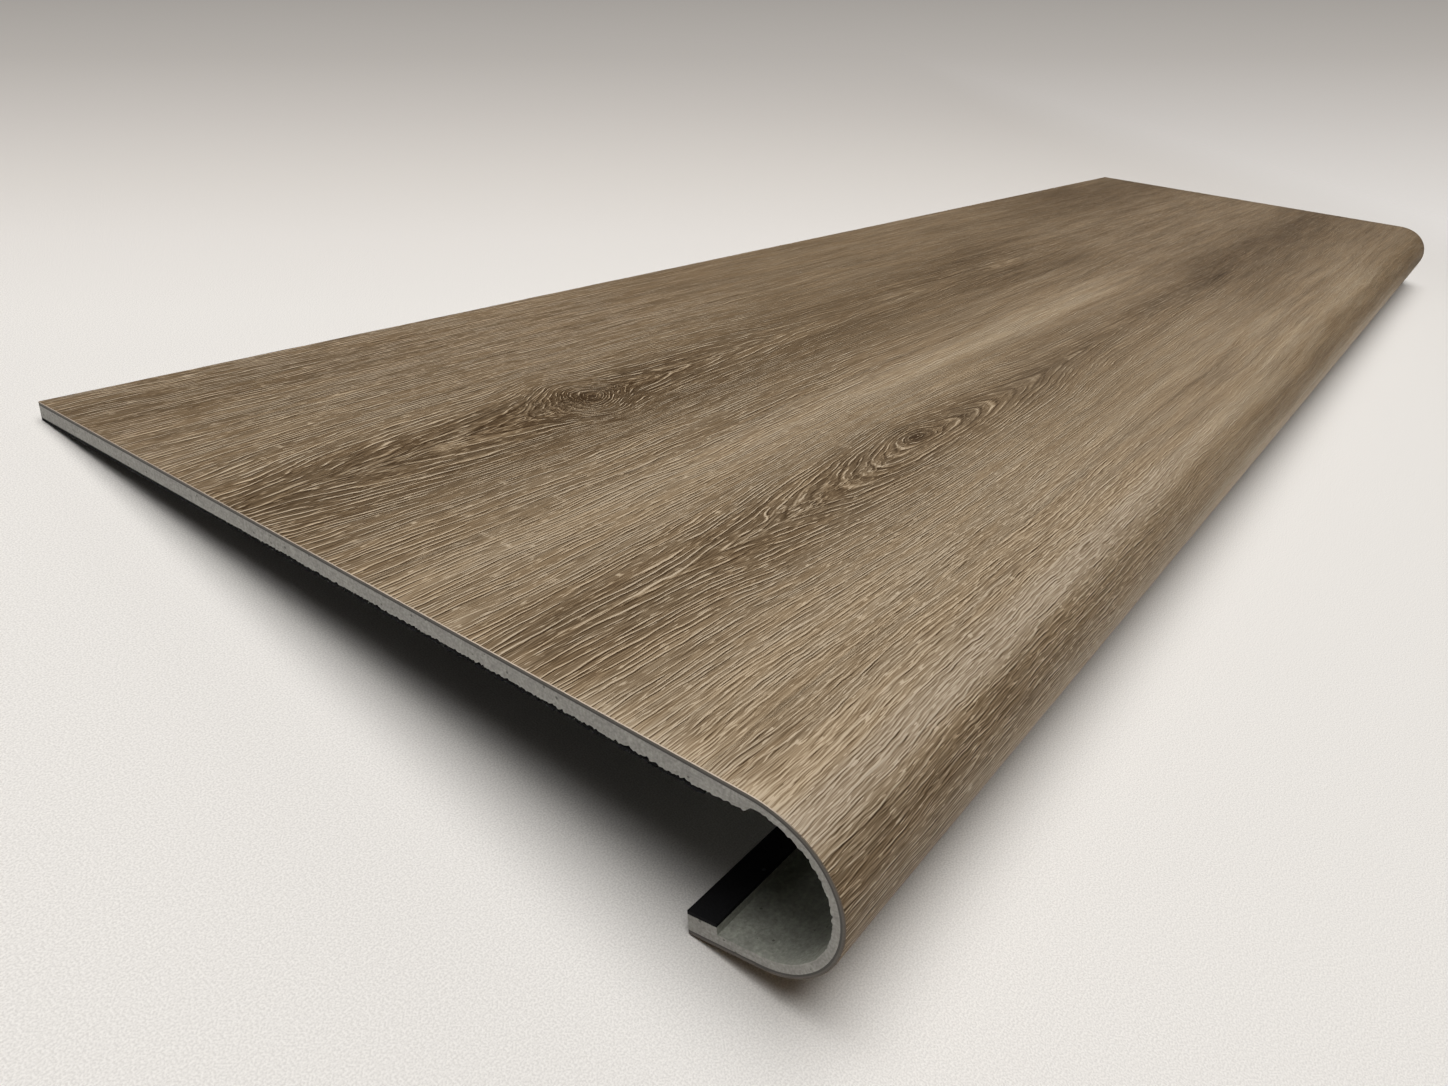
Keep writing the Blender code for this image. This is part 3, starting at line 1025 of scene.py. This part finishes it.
class TREAD_OT_backing_foam(bpy.types.Operator):
    """Model the foam on the back of the flat, torn at the cut ends"""
    bl_idname = "tread.backing_foam"
    bl_label = "Backing foam"

    def execute(self, context):
        foam = cut_section("backing_foam", PAD_TOP, PAD, SHOULDER_RUN, BACK_EDGE, 3, 0.0006, False)
        where = points(foam)
        run, depth = where[:, 1].copy(), -where[:, 2]
        inside = HALF - np.abs(where[:, 0])
        for side, seed in ((-1, 6.0), (1, 50.0)):
            here = (where[:, 0] * side > 0) & (inside < FOAM_TEAR - 0.0001)
            at, deep = run[here], depth[here]
            fade = 1 - inside[here] / FOAM_TEAR
            reach = np.interp(at, [0.01, 0.02, 0.17, 0.20], [1, 1, 0.8, 0.1])
            rough = clouds(at, at * 0, 0.0019, 1.0, seed)
            rough += 0.7 * clouds(at, deep, 0.0008, 0.0006, seed + 3)
            back = np.clip(0.25 + 0.8 * rough, 0, 1) * reach
            where[here, 0] -= side * 0.0008 * back * fade
            lower = (deep - PAD_TOP) / PAD
            thin = 0.12 + 0.6 * clouds(at, at * 0, 0.0016, 1.0, seed + 7)
            thin = np.clip(thin, 0, 0.9) * reach
            where[here, 2] = -(PAD_TOP + PAD * lower * (1 - thin * fade))
        place_points(foam, where)
        keep(foam, "board", where[:, 0] + HALF, run, depth)
        finish_piece(foam, foam_material(), "backing_pad")
        return {"FINISHED"}


# Crumbs: piece, material, slot, how many at each end, size and how far below the pad's top
CRUMBS = (
    ("foam_crumbs", "black_foam", "pad_foam", 30, 0.00036, 0.00045),
    ("core_crumbs", "grey_core", "core", 7, 0.00024, 0.00020),
)


class TREAD_OT_edge_crumbs(bpy.types.Operator):
    """Model the crumbs of foam and of core that cling to the torn edge at both ends"""
    bl_idname = "tread.edge_crumbs"
    bl_label = "Edge crumbs"

    def execute(self, context):
        for kind, surface, slot, count, size, low in CRUMBS:
            crumbs = []
            for i in range(2 * count):
                side = -1 if i < count else 1
                chance = [0.5 + 0.9 * noise.noise((1.73 * i + size * 1e4, 3.1 * j, 0.7 * i))
                          for j in range(5)]
                run = 0.014 + 0.168 * (i % count + chance[0]) / (count + 0.5)
                radius = size * (0.55 + 0.8 * chance[1])
                y, z = section_point(run, PAD_TOP + low + 0.00025 * chance[2])
                nothing_selected()
                bpy.ops.mesh.primitive_ico_sphere_add(
                    subdivisions=2, radius=radius,
                    location=(side * (HALF - radius * 1.6 - 0.0001), y[0], z[0]),
                    rotation=(6 * chance[3], 5 * chance[4], 4 * chance[0]))
                crumb = added("crumb", (1.5, 1.0, 0.7))
                where = points(crumb)
                middle = where.mean(axis=0)
                lumps = [noise.noise(tuple((point - middle) / radius * 1.3 + i)) for point in where]
                place_points(crumb, middle + (where - middle) * (1 + 0.45 * np.array(lumps)[:, None]))
                crumbs.append(crumb)
            nothing_selected()
            for crumb in crumbs:
                crumb.select_set(True)
            context.view_layer.objects.active = crumbs[0]
            bpy.ops.object.join()
            joined = context.object
            joined.name = joined.data.name = kind
            where = points(joined)
            keep(joined, "board", where[:, 0] + HALF, where[:, 1], -where[:, 2])
            whole = np.ones(len(where))
            keep(joined, "torn", 0.7 * whole, whole, whole)
            finish_piece(joined, bpy.data.materials[surface], None)
        return {"FINISHED"}


class TREAD_OT_lip_foam(bpy.types.Operator):
    """Give the foam strip on the lip its finish"""
    bl_idname = "tread.lip_foam"
    bl_label = "Lip foam"

    def execute(self, context):
        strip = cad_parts["lip_pad"]
        for slot in strip.material_slots:
            slot.material = foam_material()
        return {"FINISHED"}


class TREAD_OT_stage(bpy.types.Operator):
    """Lay the paper, hang the soft lamps and set the camera"""
    bl_idname = "tread.stage"
    bl_label = "Stage"

    def execute(self, context):
        nothing_selected()
        bpy.ops.mesh.primitive_grid_add(x_subdivisions=8, y_subdivisions=8, size=1.0)
        floor = added("paper", (FLOOR_SIDE, FLOOR_SIDE, 1))
        floor.data.materials.append(floor_material())

        scene = context.scene
        scene.world = scene.world or bpy.data.worlds.new("studio")
        room_world(scene.world)
        for name, place, target, side, power in LAMPS:
            bpy.ops.object.light_add(type="AREA", location=place)
            lamp = context.object
            lamp.name = lamp.data.name = name
            lamp.data.shape = "SQUARE"
            lamp.data.size = side
            lamp.data.energy = power
            lamp.data.color = LAMP_COLOUR
            aim = Vector(target) - Vector(place)
            lamp.rotation_euler = aim.to_track_quat("-Z", "Y").to_euler()
            nothing_selected()

        right, up = Vector(CAMERA_RIGHT), Vector(CAMERA_UP)
        turn = Matrix((right, up, right.cross(up))).transposed()
        bpy.ops.object.camera_add(location=CAMERA_AT, rotation=turn.to_euler())
        camera = context.object
        camera.data.sensor_fit = "HORIZONTAL"
        camera.data.sensor_width = CAMERA_SENSOR
        camera.data.lens = CAMERA_LENS
        camera.data.clip_start = 0.01
        camera.data.dof.use_dof = False
        scene.camera = camera
        scene.view_settings.view_transform = "Standard"
        nothing_selected()
        return {"FINISHED"}


class TREAD_PT_panel(bpy.types.Panel):
    """Sizes, colours and steps of the stair tread"""
    bl_idname = "TREAD_PT_panel"
    bl_label = "Stair tread"
    bl_space_type = "VIEW_3D"
    bl_region_type = "UI"
    bl_category = "Tread"

    def draw(self, context):
        column = self.layout.column()
        for group in (context.scene.tread_sizes, context.scene.tread_colours):
            for name in group.__annotations__:
                column.prop(group, name)
        for operator in OPERATORS:
            column.operator(operator.bl_idname)


OPERATORS = (TREAD_OT_stage, TREAD_OT_oak_face, TREAD_OT_dark_ply, TREAD_OT_grey_core,
             TREAD_OT_backing_foam, TREAD_OT_edge_crumbs, TREAD_OT_lip_foam)
CLASSES = (TreadColours, TreadSizes, *OPERATORS, TREAD_PT_panel)


def register():
    for each in CLASSES:
        bpy.utils.register_class(each)
    bpy.types.Scene.tread_colours = PointerProperty(type=TreadColours)
    bpy.types.Scene.tread_sizes = PointerProperty(type=TreadSizes)


def unregister():
    del bpy.types.Scene.tread_colours
    del bpy.types.Scene.tread_sizes
    for each in reversed(CLASSES):
        bpy.utils.unregister_class(each)


def main():
    register()
    fibres_group()
    strokes_group()
    specks_group()
    mottle_group()
    painted_paper_shade_group()
    bpy.ops.tread.stage()
    bpy.ops.tread.oak_face()
    bpy.ops.tread.dark_ply()
    bpy.ops.tread.grey_core()
    bpy.ops.tread.backing_foam()
    bpy.ops.tread.edge_crumbs()
    bpy.ops.tread.lip_foam()


if __name__ == "__main__":
    main()
